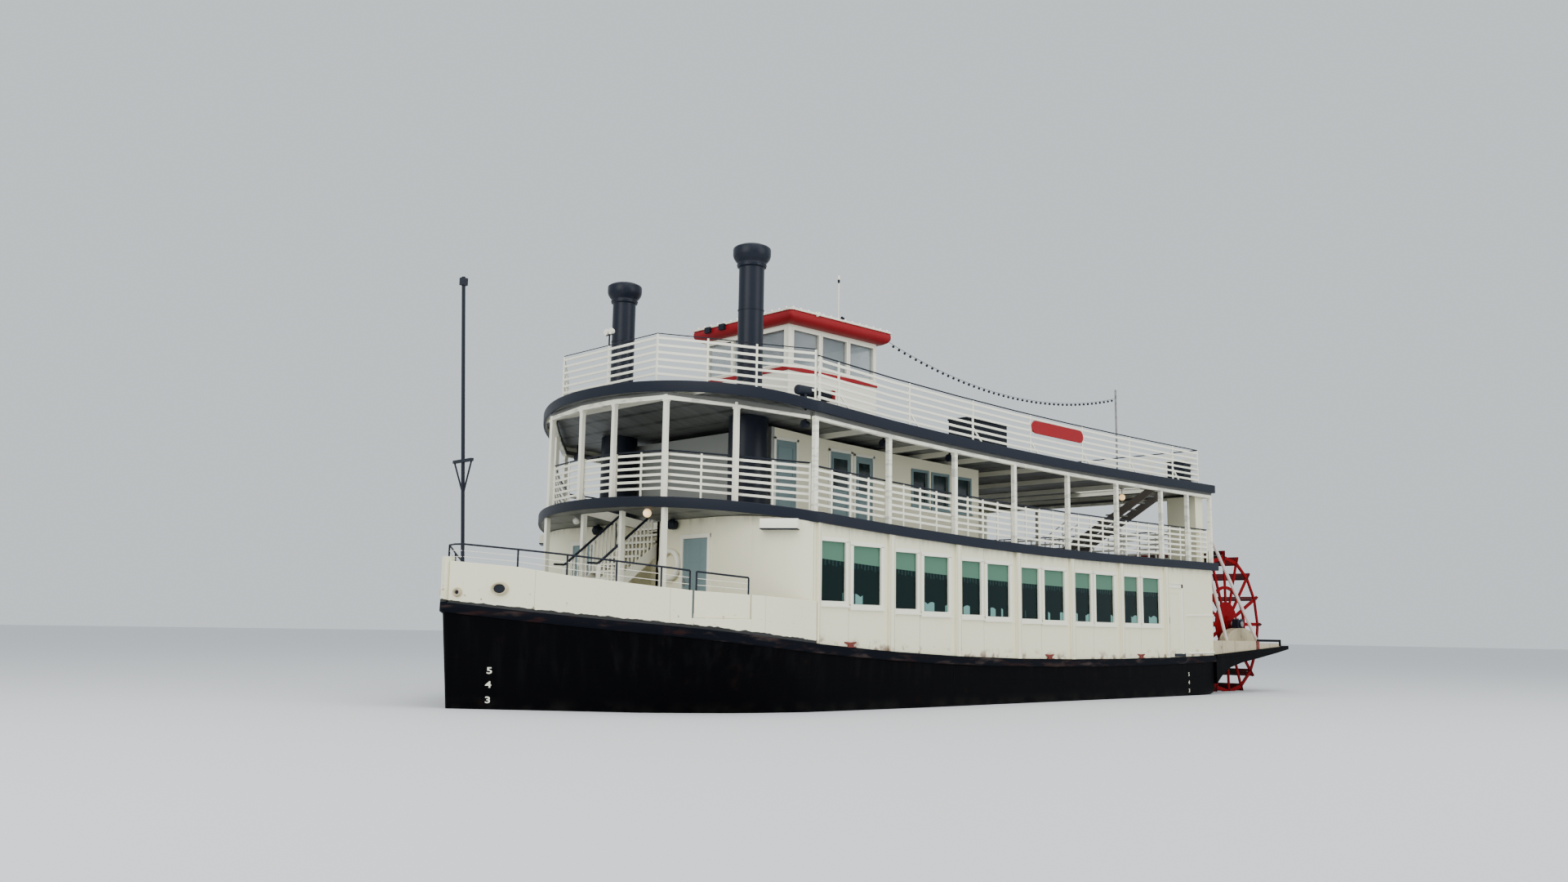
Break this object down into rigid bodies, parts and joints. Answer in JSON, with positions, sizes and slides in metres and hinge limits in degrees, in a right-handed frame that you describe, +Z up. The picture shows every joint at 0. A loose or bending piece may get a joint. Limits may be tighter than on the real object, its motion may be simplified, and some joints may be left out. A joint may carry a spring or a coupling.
{
  "type": "stern-wheel paddle steamer",
  "caption": "Decked river excursion boat with a stern paddle wheel, open promenades, twin funnels and a pilothouse.",
  "frame": {"origin": "amidships on the centre line, on the water surface", "axes": "+X forward to the bow, +Y to port, +Z up"},
  "size_m": [30.1202, 10.4, 12.45],
  "materials": {
    "black_paint": "satin",
    "trim_black": "satin",
    "white_paint": "satin, weathered",
    "deck_paint": "matte",
    "red_paint": "satin",
    "blue_paint": "satin",
    "grey_steel": "dull, worn",
    "tinted_glass": "polished"
  },
  "bodies": {
    "vessel": {"hull": "black_paint", "main_deck": "deck_paint", "foredeck": "deck_paint", "house_front": "white_paint", "house_side_port": "white_paint", "house_side_starboard": "white_paint", "saloon_glass_port": "tinted_glass", "saloon_glass_starboard": "tinted_glass", "house_stern": "white_paint", "bulwark": "white_paint", "fore_stair": "white_paint", "deck_2": "white_paint", "posts_2_port": "white_paint", "posts_2_starboard": "white_paint", "posts_2_fore": "white_paint", "railing_2_port": "white_paint", "railing_2_starboard": "white_paint", "railing_2_fore": "white_paint", "railing_3_port": "white_paint", "railing_3_starboard": "white_paint", "railing_3_fore": "white_paint", "cabin_side_port": "white_paint", "cabin_side_starboard": "white_paint", "cabin_glass_port": "tinted_glass", "cabin_glass_starboard": "tinted_glass", "cabin_front": "white_paint", "cabin_aft": "white_paint", "funnel_port": "black_paint", "funnel_starboard": "black_paint", "deck_3": "white_paint", "aft_stair": "grey_steel", "aft_locker_port": "white_paint", "aft_locker_starboard": "white_paint", "pilothouse_side_port": "white_paint", "pilothouse_side_starboard": "white_paint", "pilothouse_front": "white_paint", "pilothouse_aft": "white_paint", "pilothouse_glass": "tinted_glass", "pilothouse_roof": "red_paint", "fantail_port": "white_paint", "fantail_starboard": "white_paint", "jackstaff": "trim_black", "signal_mast": "grey_steel"},
    "wheel": {"wheel": "red_paint"},
    "rudder_port": {"rudder_port": "black_paint"},
    "rudder_starboard": {"rudder_starboard": "black_paint"},
    "fore_door_port": {"fore_door_port": "blue_paint"},
    "fore_door_starboard": {"fore_door_starboard": "blue_paint"},
    "aft_door_port": {"aft_door_port": "white_paint"},
    "aft_door_starboard": {"aft_door_starboard": "white_paint"},
    "gate_port": {"gate_port": "white_paint"},
    "gate_starboard": {"gate_starboard": "white_paint"},
    "cabin_door_1_port": {"cabin_door_1_port": "blue_paint"},
    "cabin_door_1_starboard": {"cabin_door_1_starboard": "blue_paint"},
    "cabin_door_2_port": {"cabin_door_2_port": "blue_paint"},
    "cabin_door_2_starboard": {"cabin_door_2_starboard": "blue_paint"},
    "cabin_door_3_port": {"cabin_door_3_port": "blue_paint"},
    "cabin_door_3_starboard": {"cabin_door_3_starboard": "blue_paint"},
    "pilothouse_door": {"pilothouse_door": "blue_paint"}
  },
  "joints": [
    {"name": "wheel_turn", "type": "hinge", "parent": "vessel", "child": "wheel", "pos_m": [-12.6, 0, 2.26], "axis": [0, 1, 0], "continuous": true},
    {"name": "rudder_port_steer", "type": "hinge", "parent": "vessel", "child": "rudder_port", "pos_m": [-9.2, 2.2, 0], "axis": [0, 0, 1], "range_deg": [-40, 40]},
    {"name": "rudder_starboard_steer", "type": "hinge", "parent": "vessel", "child": "rudder_starboard", "pos_m": [-9.2, -2.2, 0], "axis": [0, 0, 1], "range_deg": [-40, 40]},
    {"name": "gate_port_swing", "type": "hinge", "parent": "vessel", "child": "gate_port", "pos_m": [11.5, 4.44616, 2.3], "axis": [0, 0, 1], "range_deg": [0, 90]},
    {"name": "fore_door_port_swing", "type": "hinge", "parent": "vessel", "child": "fore_door_port", "pos_m": [9.7, 2.732, 2.94], "axis": [0, 0, 1], "range_deg": [0, 90]},
    {"name": "aft_door_port_swing", "type": "hinge", "parent": "vessel", "child": "aft_door_port", "pos_m": [-7.642, 5.12, 2.29], "axis": [0, 0, 1], "range_deg": [0, 90]},
    {"name": "cabin_door_1_port_swing", "type": "hinge", "parent": "vessel", "child": "cabin_door_1_port", "pos_m": [7.038, 2.9, 5.4], "axis": [0, 0, 1], "range_deg": [0, 90]},
    {"name": "cabin_door_2_port_swing", "type": "hinge", "parent": "vessel", "child": "cabin_door_2_port", "pos_m": [5.792, 2.9, 5.4], "axis": [0, 0, -1], "range_deg": [0, 90]},
    {"name": "cabin_door_3_port_swing", "type": "hinge", "parent": "vessel", "child": "cabin_door_3_port", "pos_m": [4.208, 2.9, 5.4], "axis": [0, 0, 1], "range_deg": [0, 90]},
    {"name": "gate_starboard_swing", "type": "hinge", "parent": "vessel", "child": "gate_starboard", "pos_m": [11.5, -4.44616, 2.3], "axis": [0, 0, -1], "range_deg": [0, 90]},
    {"name": "fore_door_starboard_swing", "type": "hinge", "parent": "vessel", "child": "fore_door_starboard", "pos_m": [9.7, -2.732, 2.94], "axis": [0, 0, -1], "range_deg": [0, 90]},
    {"name": "aft_door_starboard_swing", "type": "hinge", "parent": "vessel", "child": "aft_door_starboard", "pos_m": [-7.642, -5.12, 2.29], "axis": [0, 0, -1], "range_deg": [0, 90]},
    {"name": "cabin_door_1_starboard_swing", "type": "hinge", "parent": "vessel", "child": "cabin_door_1_starboard", "pos_m": [7.038, -2.9, 5.4], "axis": [0, 0, -1], "range_deg": [0, 90]},
    {"name": "cabin_door_2_starboard_swing", "type": "hinge", "parent": "vessel", "child": "cabin_door_2_starboard", "pos_m": [5.792, -2.9, 5.4], "axis": [0, 0, 1], "range_deg": [0, 90]},
    {"name": "cabin_door_3_starboard_swing", "type": "hinge", "parent": "vessel", "child": "cabin_door_3_starboard", "pos_m": [4.208, -2.9, 5.4], "axis": [0, 0, -1], "range_deg": [0, 90]},
    {"name": "pilothouse_door_swing", "type": "hinge", "parent": "vessel", "child": "pilothouse_door", "pos_m": [2.75, 0.392, 7.95], "axis": [0, 0, -1], "range_deg": [0, 90]}
  ],
  "couplings": [
    {"joint": "rudder_starboard_steer", "follows": "rudder_port_steer", "ratio": 1}
  ]
}
